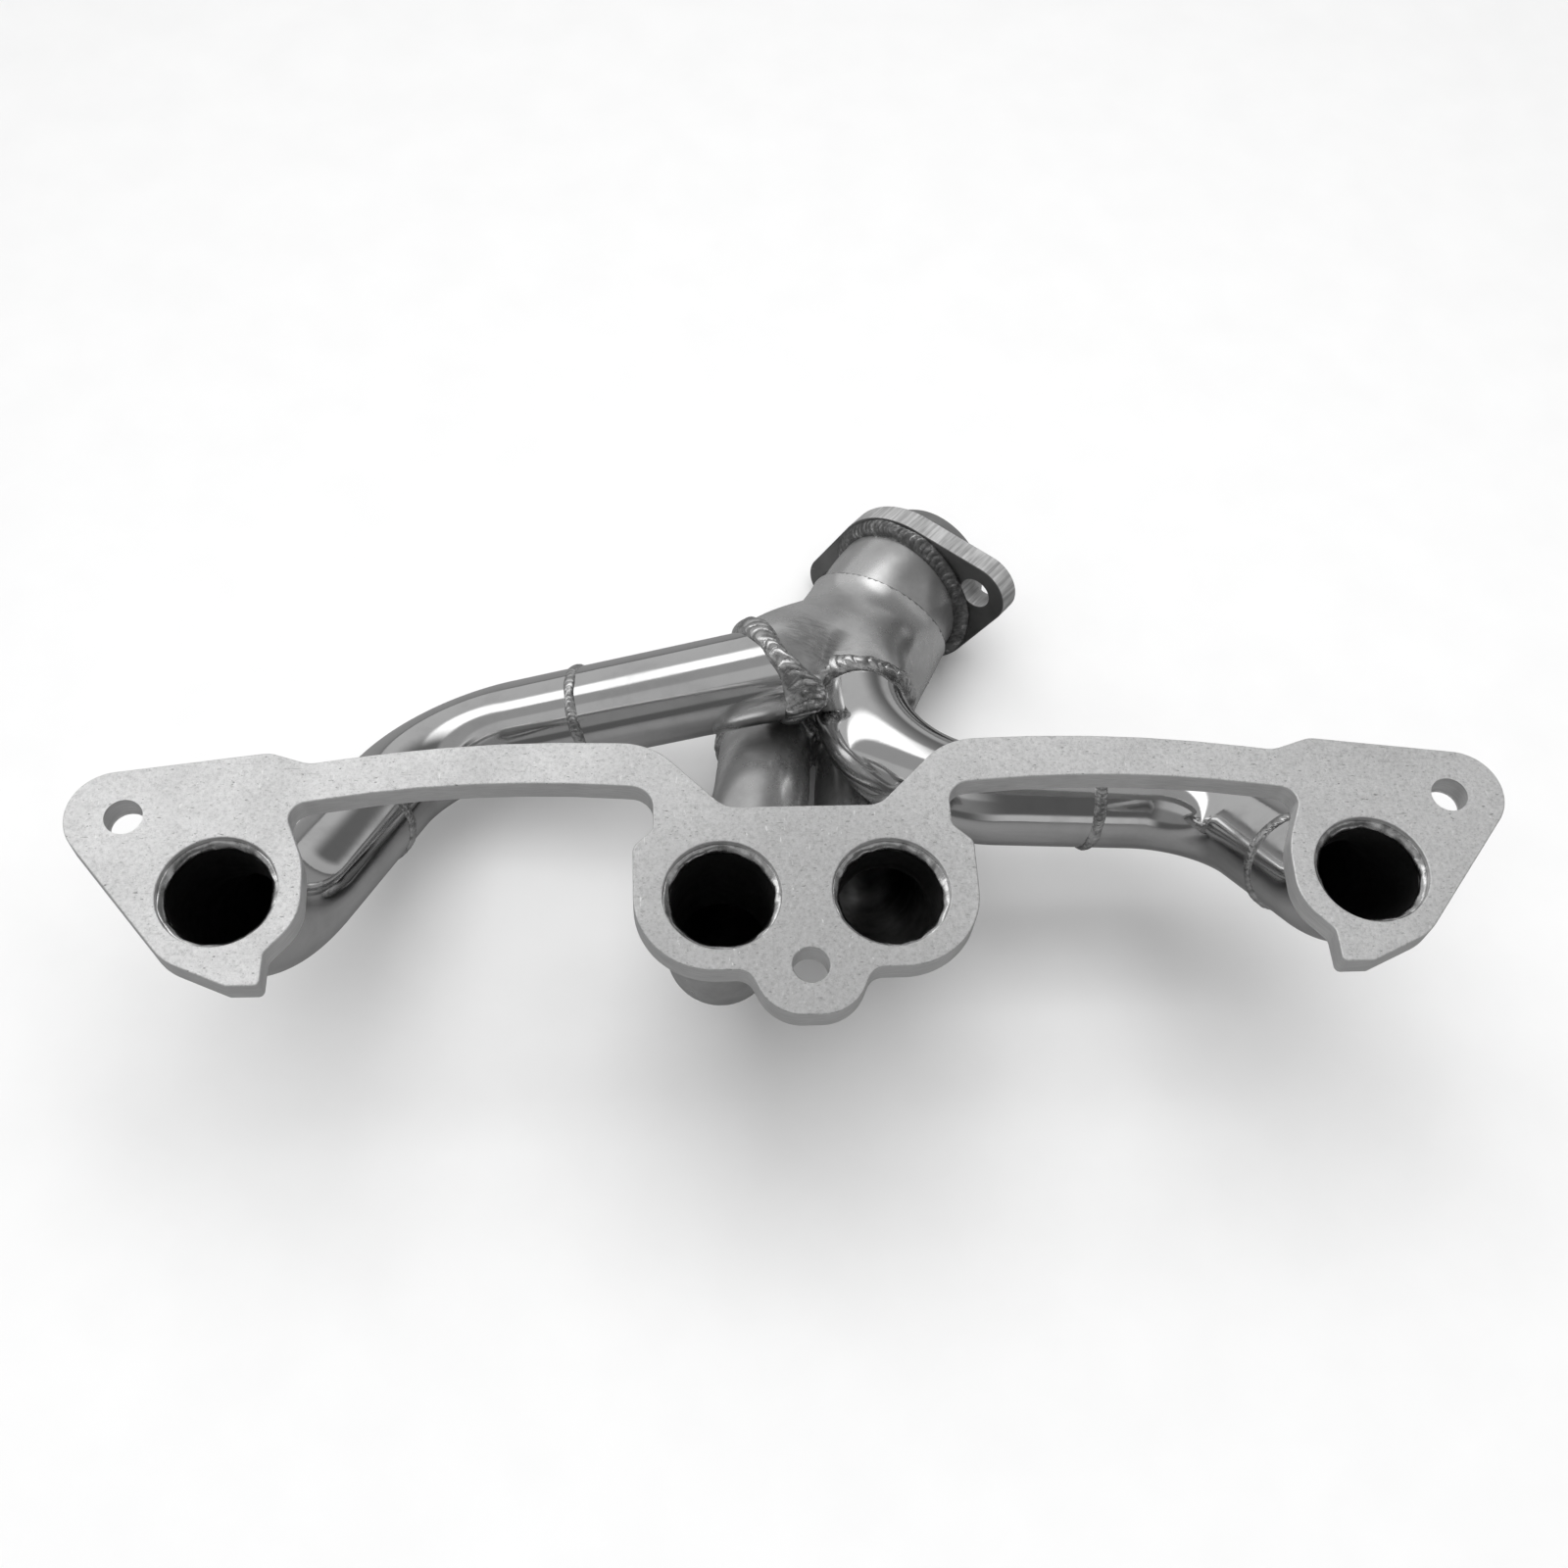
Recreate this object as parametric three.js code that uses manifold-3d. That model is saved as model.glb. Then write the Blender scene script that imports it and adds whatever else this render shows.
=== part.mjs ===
// Four-into-one exhaust manifold: a port flange, four bent primary tubes, a merge
// collector and a short outlet pipe with a two-bolt flange and a spherical seat.
// Millimetres. +X runs along the port flange, +Z is the outward normal of the port face,
// and the origin is on the port face, midway between the two middle ports.

import * as THREE from 'three';
import { mergeVertices } from 'three/addons/utils/BufferGeometryUtils.js';
import Module from 'manifold-3d';

const wasm = await Module();
wasm.setup();

// ---- driving dimensions ----

const GAP = 0.3;                      // clearance between neighbouring pieces
const TUBE_R = 19.05;                 // primary tubes: 38.1 mm outside diameter
const TUBE_WALL = 1.6;
const SIDES = 20;                     // facets around a tube
const PORT_SIDES = 28;
const BOLT_SIDES = 16;
const LOFT_STEPS = 8;                 // rings along a lobe of the collector
const SLANT_STEPS = 3;
const SEAT_STEPS = 6;
const ARC_SEGMENTS = 8;               // segments of each arc of the outlet flange
const BEND_STEP = THREE.MathUtils.degToRad(12.5);
const OUTLINE_STEP = THREE.MathUtils.degToRad(15);
const MIN_STEP = 1;                   // shortest step between the rings of a swept tube
const SAME_POINT = 1e-4;              // vertices closer than this are one
const SAME_PLANE = 0.01;              // how far the points of an end ring may stray from its plane
const MESH_TOLERANCE = 0.03;          // how far simplifying may move the collector's surface

const PLATE = 10;                     // port flange thickness
const INNER_PORT_X = 28.4;            // half the distance between ports 2 and 3
const OUTER_PORT_X = 194.05;          // half the distance between ports 1 and 4
const OUTER_PORT_Y = 4.86;
const PORT_R = 19.8;
const TUBE_RECESS = 4.5;              // the tubes end this far below the port face
const END_BOLT = { x: 227.5, y: 33, r: 7 };
const MID_BOLT = { x: 0, y: -26, r: 6.1 };

const PIPE_R = 30;                    // outlet pipe: 60 mm outside diameter
const PIPE_WALL = 2;
const PIPE_BEND_R = 66;
const PIPE_TUCK = 8;                  // length of pipe held inside the collector
const SHEET = 1.7;                    // collector sheet thickness
const LIP = 6;                        // the collector reaches this far back over tubes 2 to 4
const LOBE_PULL = 0.42;               // handle length of a lobe's curve, as a share of its span
const LOBE_KEEP = 0.1;                // share of a lobe that keeps the radius of its tube
const BORE_OVERRUN = 2;               // the lobes' bores run this far past both ends
const LOBE_R = TUBE_R + GAP + SHEET;
const SLEEVE_R = PIPE_R + GAP + SHEET;

const OUTLET = new THREE.Vector3(59.6, 200.8, -112.1);   // centre of the outlet flange's pipe side
const OUTLET_AXIS = new THREE.Vector3(0.651, 0.745, -0.144).normalize();
const OUTLET_LONG = new THREE.Vector3(0.665, -0.469, 0.581);  // line through its two bolt holes
const MERGE = new THREE.Vector3(47.6, 183.9, -111.5);    // centre of the collector's outlet
const MERGE_AXIS = new THREE.Vector3(0.49, 0.87, 0.09).normalize();

const LOZENGE = { plate: 10, bolt: 40.6, boltR: 6.9, endR: 14.3, midR: 36.2 };
const SEAT = { sphereR: 31.7, centre: 6, boreR: 24, lipR: 25.8 };
const BEAD = { height: 1.5, halfWidth: 2.4, shoulder: 0.75 };
const FILLET = { radial: 5.4, axial: 4.6, sag: [[0.75, 0.55], [0.3, 0.9]] };
const PORT_WELD = { wallHeight: 2.2, crest: 1.9, crestWidth: 1, toeHeight: 0.5, overhang: 0.4 };

// Outline of the port flange's right half as [x, y, corner radius], from the top middle round
// to the bottom middle. The left half is its mirror image.
const HALF_OUTLINE = [
  [26.6, 33, 10], [51.5, 58.4, 25], [112, 61.1, 480], [168, 52.4, 12], [181.5, 57, 10],
  [262.6, 46.5, 17], [209, -19.6, 20], [188, -29, 3], [177.3, -29, 2], [177, -17.5, 4],
  [166.4, -5.5, 20], [167, 15, 30], [175.3, 36.3, 6], [112, 46.3, 410], [51, 40.9, 8],
  [51, 25, 4], [58, 18.5, 5], [58, -27.3, 27], [20.5, -27.3, 6], [13, -43.5, 16],
];

// Corner points of each tube's centreline and the bend radius at each inner corner.
const ROUTES = {
  tube_1: {
    corners: [
      [-OUTER_PORT_X, OUTER_PORT_Y, -TUBE_RECESS], [-OUTER_PORT_X, OUTER_PORT_Y, -52.3],
      [-142.8, 127.9, -117.8], [-6, 128.1, -66.9],
    ],
    radii: [69, 48],
  },
  tube_2: {
    corners: [
      [-INNER_PORT_X, 0, -TUBE_RECESS], [-INNER_PORT_X, 0, -72], [-9, 80, -85], [-3, 132, -124],
    ],
    radii: [38, 55],
  },
  tube_3: {
    corners: [
      [INNER_PORT_X, 0, -TUBE_RECESS], [INNER_PORT_X, 0, -26], [30, 60, -102], [38, 132, -124],
    ],
    radii: [38, 50],
  },
  tube_4: {
    corners: [
      [OUTER_PORT_X, OUTER_PORT_Y, -TUBE_RECESS], [OUTER_PORT_X, OUTER_PORT_Y, -26],
      [169.2, 75.4, -82.4], [32, 72, -63.3], [32.8, 128.1, -79.6],
    ],
    radii: [36, 38.9, 46],
  },
};

// Butt welds, as distances along each tube from its port end.
const BUTT_WELDS = { tube_1: [129, 243], tube_4: [54, 153.5] };

// Tube 1 meets the collector in a mitre, which turns the gas to this direction.
const MITRE_OUT = new THREE.Vector3(0.52, 0.78, -0.37).normalize();

// ---- materials ----

function steel(color, roughness) {
  return new THREE.MeshStandardMaterial({ color, roughness, metalness: 1 });
}

const blasted = () => steel(0xb9b9b7, 0.6);
const polished = () => steel(0xd2d2d0, 0.12);
const formed = () => steel(0xc4c4c2, 0.2);
const machined = () => steel(0xa4a3a0, 0.38);
const bead = () => steel(0x9a9792, 0.33);

// ---- centrelines ----

const vector = (p) => new THREE.Vector3(p[0], p[1], p[2]);

// Stations along a polyline whose inner corners are rounded: point, direction and distance.
function stationsOf(route) {
  const corners = route.corners.map(vector);
  const stations = [];
  const put = (point, direction) => {
    const last = stations.at(-1);
    const s = last ? last.s + last.point.distanceTo(point) : 0;
    stations.push({ point, direction: direction.clone(), s });
  };
  const heading = (i) => corners[i + 1].clone().sub(corners[i]).normalize();
  put(corners[0], heading(0));
  for (let i = 1; i < corners.length - 1; i++) {
    const into = heading(i - 1);
    const out = heading(i);
    const turn = into.angleTo(out);
    const radius = route.radii[i - 1];
    const start = corners[i].clone().addScaledVector(into, -radius * Math.tan(turn / 2));
    const inward = out.clone().addScaledVector(into, -out.dot(into)).normalize();
    const steps = Math.ceil(turn / BEND_STEP);
    for (let k = 0; k <= steps; k++) {
      const a = (turn * k) / steps;
      const point = start.clone().addScaledVector(into, radius * Math.sin(a))
        .addScaledVector(inward, radius * (1 - Math.cos(a)));
      const direction = into.clone().multiplyScalar(Math.cos(a)).addScaledVector(inward, Math.sin(a));
      put(point, direction);
    }
  }
  put(corners.at(-1), heading(corners.length - 2));
  return stations;
}

// The station at distance s, between the stored ones.
function stationAt(stations, s) {
  const later = stations.findIndex((q) => q.s > s);
  const i = later < 0 ? stations.length - 1 : Math.max(later, 1);
  const [a, b] = [stations[i - 1], stations[i]];
  const f = (s - a.s) / (b.s - a.s);
  const direction = a.direction.clone().lerp(b.direction, f).normalize();
  return { point: a.point.clone().lerp(b.point, f), direction, s };
}

// The part of a centreline from distance s0 to distance s1.
function cutOut(stations, s0, s1) {
  const inside = stations.filter((q) => q.s > s0 + MIN_STEP && q.s < s1 - MIN_STEP);
  return [stationAt(stations, s0), ...inside, stationAt(stations, s1)];
}

// A curve that passes through stations and knows the direction at each.
class StationCurve extends THREE.Curve {
  constructor(stations) {
    super();
    this.stations = stations;
  }

  spot(t) {
    const x = t * (this.stations.length - 1);
    const i = Math.min(Math.floor(x + SAME_POINT), this.stations.length - 2);
    return { a: this.stations[i], b: this.stations[i + 1], f: x - i };
  }

  getPointAt(t, target = new THREE.Vector3()) {
    const { a, b, f } = this.spot(t);
    return target.lerpVectors(a.point, b.point, f);
  }

  getTangentAt(t, target = new THREE.Vector3()) {
    const { a, b, f } = this.spot(t);
    return target.lerpVectors(a.direction, b.direction, f).normalize();
  }
}

// ---- solids ----

// A closed path of equal facets round a circle.
function facetedCircle(x, y, radius, sides = SIDES, path = new THREE.Path()) {
  for (let i = 0; i < sides; i++) {
    const a = (2 * Math.PI * i) / sides;
    path[i ? 'lineTo' : 'moveTo'](x + radius * Math.cos(a), y + radius * Math.sin(a));
  }
  path.closePath();
  return path;
}

function sweep(stations, outer, inner) {
  const shape = facetedCircle(0, 0, outer, SIDES, new THREE.Shape());
  if (inner) shape.holes.push(facetedCircle(0, 0, inner));
  const options = { steps: stations.length - 1, extrudePath: new StationCurve(stations) };
  return new THREE.ExtrudeGeometry(shape, { ...options, bevelEnabled: false });
}

// How far a point off an axis slides along it to reach the plane with a given normal.
const slideTo = (off, axis, normal) => -off.dot(normal) / axis.dot(normal);

// Slides the end ring of a straight length along its axis onto a slanted plane.
function slantEnd(geometry, end, normal) {
  const position = geometry.attributes.position;
  const p = new THREE.Vector3();
  for (let i = 0; i < position.count; i++) {
    p.fromBufferAttribute(position, i);
    const off = p.clone().sub(end.point);
    if (Math.abs(off.dot(end.direction)) > SAME_PLANE) continue;
    p.addScaledVector(end.direction, slideTo(off, end.direction, normal));
    position.setXYZ(i, p.x, p.y, p.z);
  }
  return geometry;
}

// A round-sectioned solid along a curve, from radius r0 to radius r1. Its first ring lies in
// the plane with the given normal, and the next few turn square to the curve.
function loft(curve, r0, r1, normal) {
  const steps = LOFT_STEPS;
  const geometry = new THREE.CylinderGeometry(1, 1, 1, SIDES, steps);
  const frames = curve.computeFrenetFrames(steps);
  const position = geometry.attributes.position;
  for (let i = 0; i < position.count; i++) {
    const k = Math.round((position.getY(i) + 0.5) * steps);
    const along = frames.tangents[k];
    const side = frames.normals[k];
    const up = side.clone().cross(along);
    const growth = THREE.MathUtils.smoothstep(k / steps, LOBE_KEEP, 1);
    const radius = THREE.MathUtils.lerp(r0, r1, growth);
    const off = side.clone().multiplyScalar(radius * position.getX(i))
      .addScaledVector(up, radius * position.getZ(i));
    const slide = Math.max(0, 1 - k / SLANT_STEPS) * slideTo(off, along, normal);
    const p = curve.getPointAt(k / steps).add(off).addScaledVector(along, slide);
    position.setXYZ(i, p.x, p.y, p.z);
  }
  return geometry;
}

function solid(geometry) {
  const bare = new THREE.BufferGeometry();
  bare.setAttribute('position', geometry.attributes.position.clone());
  if (geometry.index) bare.setIndex(geometry.index.clone());
  const merged = mergeVertices(bare, SAME_POINT);
  const index = Array.from(merged.index.array);
  const whole = [];
  for (let i = 0; i < index.length; i += 3) {
    const [a, b, c] = index.slice(i, i + 3);
    if (a !== b && b !== c && c !== a) whole.push(a, b, c);
  }
  return new wasm.Manifold(new wasm.Mesh({
    numProp: 3,
    vertProperties: new Float32Array(merged.attributes.position.array),
    triVerts: new Uint32Array(whole),
  }));
}

function geometryOf(manifold) {
  const mesh = manifold.getMesh();
  const geometry = new THREE.BufferGeometry();
  geometry.setAttribute('position', new THREE.BufferAttribute(mesh.vertProperties, 3));
  geometry.setIndex(new THREE.BufferAttribute(mesh.triVerts, 1));
  geometry.computeVertexNormals();
  return geometry;
}

const joined = (solids) => solids.reduce((a, b) => a.add(b));
const largest = (manifold) => manifold.decompose().sort((a, b) => b.volume() - a.volume())[0];

// ---- scene helpers ----

const header = new THREE.Group();
header.name = 'exhaust_manifold';

function addMesh(name, geometry, material, parent = header) {
  const mesh = new THREE.Mesh(geometry, material);
  mesh.name = name;
  parent.add(mesh);
  return mesh;
}

// Turns an object so that its +Z follows a direction.
function aim(object, point, direction) {
  object.position.copy(point);
  object.quaternion.setFromUnitVectors(new THREE.Vector3(0, 0, 1), direction);
  return object;
}

// A ring round the Z axis from a closed profile of [radius, z] points.
function ring(profile, sides = SIDES) {
  const points = [...profile, profile[0]].map(([r, z]) => new THREE.Vector2(r, z));
  return new THREE.LatheGeometry(points, sides).rotateX(Math.PI / 2);
}

// A weld bead round a tube: a low crown on an inner face that clears the tube's facets.
function beadRing(radius, height = BEAD.height) {
  const { halfWidth, shoulder } = BEAD;
  const inner = (radius + GAP) / Math.cos(Math.PI / SIDES);
  const side = radius + shoulder * height;
  return ring([
    [inner, -halfWidth], [side, -shoulder * halfWidth], [radius + height, 0],
    [side, shoulder * halfWidth], [inner, halfWidth],
  ]);
}

// ---- port flange ----

// Adds a polygon with rounded corners to a shape; each corner is [x, y, radius].
function roundedOutline(corners) {
  const shape = new THREE.Shape();
  const count = corners.length;
  corners.forEach(([x, y, radius], i) => {
    const here = new THREE.Vector2(x, y);
    const toPrev = new THREE.Vector2(...corners[(i + count - 1) % count]).sub(here).normalize();
    const toNext = new THREE.Vector2(...corners[(i + 1) % count]).sub(here).normalize();
    const half = Math.acos(THREE.MathUtils.clamp(toPrev.dot(toNext), -1, 1)) / 2;
    const start = here.clone().addScaledVector(toPrev, radius / Math.tan(half));
    const centre = here.clone()
      .addScaledVector(toPrev.clone().add(toNext).normalize(), radius / Math.sin(half));
    const clockwise = toPrev.cross(toNext) > 0;
    const turn = Math.PI - 2 * half;
    const steps = Math.max(2, Math.ceil(turn / OUTLINE_STEP));
    const a0 = start.sub(centre).angle();
    for (let k = 0; k <= steps; k++) {
      const a = a0 + ((clockwise ? -1 : 1) * turn * k) / steps;
      const method = i === 0 && k === 0 ? 'moveTo' : 'lineTo';
      shape[method](centre.x + radius * Math.cos(a), centre.y + radius * Math.sin(a));
    }
  });
  shape.closePath();
  return shape;
}

const PORTS = [
  [-OUTER_PORT_X, OUTER_PORT_Y], [-INNER_PORT_X, 0], [INNER_PORT_X, 0], [OUTER_PORT_X, OUTER_PORT_Y],
];

function addPortFlange() {
  const left = HALF_OUTLINE.map(([x, y, r]) => [-x, y, r]).reverse();
  const shape = roundedOutline([...HALF_OUTLINE, ...left]);
  PORTS.forEach(([x, y]) => shape.holes.push(facetedCircle(x, y, PORT_R, PORT_SIDES)));
  shape.holes.push(facetedCircle(END_BOLT.x, END_BOLT.y, END_BOLT.r, BOLT_SIDES));
  shape.holes.push(facetedCircle(-END_BOLT.x, END_BOLT.y, END_BOLT.r, BOLT_SIDES));
  shape.holes.push(facetedCircle(MID_BOLT.x, MID_BOLT.y, MID_BOLT.r, BOLT_SIDES));
  const geometry = new THREE.ExtrudeGeometry(shape, { depth: PLATE, bevelEnabled: false });
  addMesh('port_flange', geometry, blasted()).position.z = -PLATE;
}

// The weld inside each port joins the recessed tube end to the hole's wall.
function addPortWelds() {
  const top = -TUBE_RECESS + GAP;
  const outer = PORT_R * Math.cos(Math.PI / PORT_SIDES) - GAP;
  const inner = TUBE_R - TUBE_WALL - PORT_WELD.overhang;
  const profile = [
    [outer, top], [outer, top + PORT_WELD.wallHeight],
    [outer - PORT_WELD.crestWidth, top + PORT_WELD.crest],
    [inner, top + PORT_WELD.toeHeight], [inner, top],
  ];
  PORTS.forEach(([x, y], i) => {
    addMesh(`port_weld_${i + 1}`, ring(profile), bead()).position.set(x, y, 0);
  });
}

// ---- tubes ----

const NAMES = Object.keys(ROUTES);
const CENTRELINES = Object.fromEntries(NAMES.map((name) => [name, stationsOf(ROUTES[name])]));

// How each tube passes into the collector: where its lip is, the normal of the mouth's plane
// and the direction in which the collector leads away.
function inletOf(name) {
  const stations = CENTRELINES[name];
  const end = stations.at(-1);
  if (name !== 'tube_1') {
    return { lip: stationAt(stations, end.s - LIP), mouth: end.direction, away: end.direction };
  }
  const lip = { ...end, point: end.point.clone().addScaledVector(end.direction, GAP) };
  return { lip, mouth: end.direction.clone().add(MITRE_OUT).normalize(), away: MITRE_OUT };
}

const INLETS = Object.fromEntries(NAMES.map((name) => [name, inletOf(name)]));

function addTube(name) {
  const stations = CENTRELINES[name];
  const cuts = [0, ...(BUTT_WELDS[name] ?? []), stations.at(-1).s];
  const labels = cuts.length > 2 ? ['_port', '_middle', '_upper'] : [''];
  for (let i = 0; i < cuts.length - 1; i++) {
    const from = cuts[i] + (i ? GAP / 2 : 0);
    const to = cuts[i + 1] - (i < cuts.length - 2 ? GAP / 2 : 0);
    const geometry = sweep(cutOut(stations, from, to), TUBE_R, TUBE_R - TUBE_WALL);
    const { mouth } = INLETS[name];
    if (i === cuts.length - 2) slantEnd(geometry, stations.at(-1), mouth);
    addMesh(name + labels[i], geometry, polished());
  }
  cuts.slice(1, -1).forEach((s, i) => {
    const at = stationAt(stations, s);
    aim(addMesh(`${name}_weld_${i + 1}`, beadRing(TUBE_R), bead()), at.point, at.direction);
  });
}

// ---- collector ----

// One lobe of the collector, from a tube's mouth to the round outlet.
function lobe({ lip, mouth, away }, r0, r1, reach = 0) {
  const start = lip.point.clone().addScaledVector(away, -reach);
  const finish = MERGE.clone().addScaledVector(MERGE_AXIS, reach);
  const pull = LOBE_PULL * start.distanceTo(finish);
  const curve = new THREE.CubicBezierCurve3(start,
    start.clone().addScaledVector(away, pull),
    finish.clone().addScaledVector(MERGE_AXIS, -pull), finish);
  return solid(loft(curve, r0, r1, mouth));
}

// A tube's outside, grown by the clearance.
function tubeEnvelope(name) {
  const stations = CENTRELINES[name];
  const geometry = sweep(stations, (TUBE_R + GAP) / Math.cos(Math.PI / SIDES));
  return solid(slantEnd(geometry, stations.at(-1), INLETS[name].mouth));
}

// The centreline of the outlet pipe: two straight ends joined by a slight bend.
function pipeStations(extra = 0) {
  const start = MERGE.clone().addScaledVector(MERGE_AXIS, -PIPE_TUCK - extra);
  const knee = MERGE.clone().addScaledVector(MERGE_AXIS, MERGE.distanceTo(OUTLET) / 2);
  const end = OUTLET.clone().addScaledVector(OUTLET_AXIS, LOZENGE.plate);
  return stationsOf({ corners: [start, knee, end].map((p) => p.toArray()), radii: [PIPE_BEND_R] });
}

function addCollector() {
  const all = Object.values(INLETS);
  const outside = joined(all.map((q) => lobe(q, LOBE_R, SLEEVE_R)));
  const inside = joined(all.map((q) => lobe(q, TUBE_R - TUBE_WALL, PIPE_R - PIPE_WALL, BORE_OVERRUN)));
  const tubes = joined(NAMES.map(tubeEnvelope));
  const pipe = solid(sweep(pipeStations(GAP), (PIPE_R + GAP) / Math.cos(Math.PI / SIDES)));
  const shell = outside.subtract(inside).subtract(tubes).subtract(pipe);
  addMesh('collector', geometryOf(largest(shell).simplify(MESH_TOLERANCE)), formed());
}

// A bead round each tube at the collector's lip, slanted as the lip is and cut clear of the
// other tubes and lobes.
function addInletWelds() {
  const setback = BEAD.halfWidth + 2 * GAP;
  NAMES.forEach((name) => {
    const { lip, mouth } = INLETS[name];
    const at = aim(new THREE.Object3D(), lip.point, lip.direction);
    at.position.addScaledVector(lip.direction, -setback);
    at.updateMatrix();
    const local = mouth.clone().applyQuaternion(at.quaternion.clone().invert());
    const [kx, ky] = [-local.x / local.z, -local.y / local.z];
    const shear = new THREE.Matrix4().set(1, 0, 0, 0, 0, 1, 0, 0, kx, ky, 1, 0, 0, 0, 0, 1);
    const geometry = beadRing(TUBE_R, SHEET + GAP).applyMatrix4(shear).applyMatrix4(at.matrix);
    const others = NAMES.filter((other) => other !== name);
    const neighbours = joined(others.flatMap((other) => [
      tubeEnvelope(other), lobe(INLETS[other], LOBE_R + GAP, SLEEVE_R + GAP, GAP),
    ]));
    const weld = largest(solid(geometry).subtract(neighbours));
    addMesh(`collector_weld_${name.slice(-1)}`, geometryOf(weld), bead());
  });
}

// ---- outlet ----

function addPipe() {
  addMesh('outlet_pipe', sweep(pipeStations(), PIPE_R, PIPE_R - PIPE_WALL), polished());
}

// A two-bolt lozenge: two small end arcs and two large middle arcs joined by tangents.
function lozengeOutline() {
  const { bolt, endR, midR } = LOZENGE;
  const tangent = Math.PI / 2 - Math.asin((midR - endR) / bolt);
  const shape = new THREE.Shape();
  shape.absarc(bolt, 0, endR, -tangent, tangent, false);
  shape.absarc(0, 0, midR, tangent, Math.PI - tangent, false);
  shape.absarc(-bolt, 0, endR, Math.PI - tangent, Math.PI + tangent, false);
  shape.absarc(0, 0, midR, Math.PI + tangent, 2 * Math.PI - tangent, false);
  shape.closePath();
  return shape;
}

function addOutlet() {
  const outlet = new THREE.Group();
  const long = OUTLET_LONG.clone().addScaledVector(OUTLET_AXIS, -OUTLET_LONG.dot(OUTLET_AXIS)).normalize();
  const basis = new THREE.Matrix4().makeBasis(long, OUTLET_AXIS.clone().cross(long), OUTLET_AXIS);
  outlet.quaternion.setFromRotationMatrix(basis);
  outlet.position.copy(OUTLET);
  header.add(outlet);

  const shape = lozengeOutline();
  shape.holes.push(facetedCircle(0, 0, (PIPE_R + GAP) / Math.cos(Math.PI / SIDES), PORT_SIDES));
  shape.holes.push(facetedCircle(LOZENGE.bolt, 0, LOZENGE.boltR, BOLT_SIDES));
  shape.holes.push(facetedCircle(-LOZENGE.bolt, 0, LOZENGE.boltR, BOLT_SIDES));
  const options = { depth: LOZENGE.plate, bevelEnabled: false, curveSegments: ARC_SEGMENTS };
  addMesh('outlet_flange', new THREE.ExtrudeGeometry(shape, options), machined(), outlet);

  addMesh('outlet_seat', ring(seatProfile()), machined(), outlet);

  const inner = (PIPE_R + GAP) / Math.cos(Math.PI / SIDES);
  const { radial, axial, sag } = FILLET;
  const slope = sag.map(([r, z]) => [inner + r * radial, -z * axial]);
  const profile = [[inner, -GAP], [inner + radial, -GAP], ...slope, [inner, -axial]];
  addMesh('outlet_weld', ring(profile.reverse()), bead(), outlet);
}

// The seat is a zone of a sphere that stands on the flange's far side, with a plain bore.
function seatProfile() {
  const { sphereR, centre, boreR, lipR } = SEAT;
  const base = LOZENGE.plate + GAP;
  const top = centre + Math.sqrt(sphereR ** 2 - lipR ** 2);
  const crown = Array.from({ length: SEAT_STEPS + 1 }, (_, i) => {
    const z = THREE.MathUtils.lerp(base, top, i / SEAT_STEPS);
    return [Math.sqrt(sphereR ** 2 - (z - centre) ** 2), z];
  });
  return [...crown, [boreR, top], [boreR, base]];
}

// ---- assembly ----

addPortFlange();
addPortWelds();
NAMES.forEach(addTube);
addCollector();
addInletWelds();
addPipe();
addOutlet();

export default header;
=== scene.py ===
"""Looks of a welded four-into-one exhaust header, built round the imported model.

Lengths are written in millimetres and turned into metres where the meshes are made. The header
lies on its back: the port face looks up along +Z and the outlet points away along +Y.
"""

import math
import random

import bmesh
import bpy
import numpy as np
from mathutils import Matrix, Vector


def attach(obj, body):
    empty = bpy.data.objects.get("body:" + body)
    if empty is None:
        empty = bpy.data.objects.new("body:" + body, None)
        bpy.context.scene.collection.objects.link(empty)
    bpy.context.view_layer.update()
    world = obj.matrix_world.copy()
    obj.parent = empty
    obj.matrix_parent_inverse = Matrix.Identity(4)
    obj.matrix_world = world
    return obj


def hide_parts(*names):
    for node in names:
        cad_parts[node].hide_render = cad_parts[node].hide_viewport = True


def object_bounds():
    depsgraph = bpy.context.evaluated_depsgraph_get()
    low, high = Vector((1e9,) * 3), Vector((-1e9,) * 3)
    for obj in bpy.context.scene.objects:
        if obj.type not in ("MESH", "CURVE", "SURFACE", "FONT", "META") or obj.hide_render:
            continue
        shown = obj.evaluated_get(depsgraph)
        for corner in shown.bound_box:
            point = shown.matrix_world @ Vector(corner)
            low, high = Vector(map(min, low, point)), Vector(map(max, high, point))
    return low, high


MM = 0.001

# ---- sizes, in millimetres ----

TUBE_R, TUBE_WALL = 19.05, 1.6
PLATE, PLATE_EDGE = 10.0, 0.55
PORT_R, TUBE_RECESS = 19.8, 4.5
INNER_PORT_X, OUTER_PORT_X, OUTER_PORT_Y = 28.4, 194.05, 4.86
END_BOLT, MID_BOLT = (227.5, 33.0, 7.0), (0.0, -26.0, 6.1)
PIPE_R, PIPE_WALL, PIPE_BEND_R, PIPE_TUCK = 30.0, 2.0, 66.0, 8.0
SHEET, LIP, GAP = 1.7, 6.0, 0.3
LOBE_R, SLEEVE_R = TUBE_R + GAP + SHEET, PIPE_R + GAP + SHEET
OUTLET = Vector((59.6, 200.8, -112.1))
OUTLET_AXIS = Vector((0.651, 0.745, -0.144)).normalized()
OUTLET_LONG = Vector((0.665, -0.469, 0.581))
MERGE = Vector((47.6, 183.9, -111.5))
MERGE_AXIS = Vector((0.49, 0.87, 0.09)).normalized()
MITRE_OUT = Vector((0.52, 0.78, -0.37)).normalized()
LOZENGE_BOLT, LOZENGE_BOLT_R, LOZENGE_END_R, LOZENGE_MID_R = 40.6, 6.9, 14.3, 36.2
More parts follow.
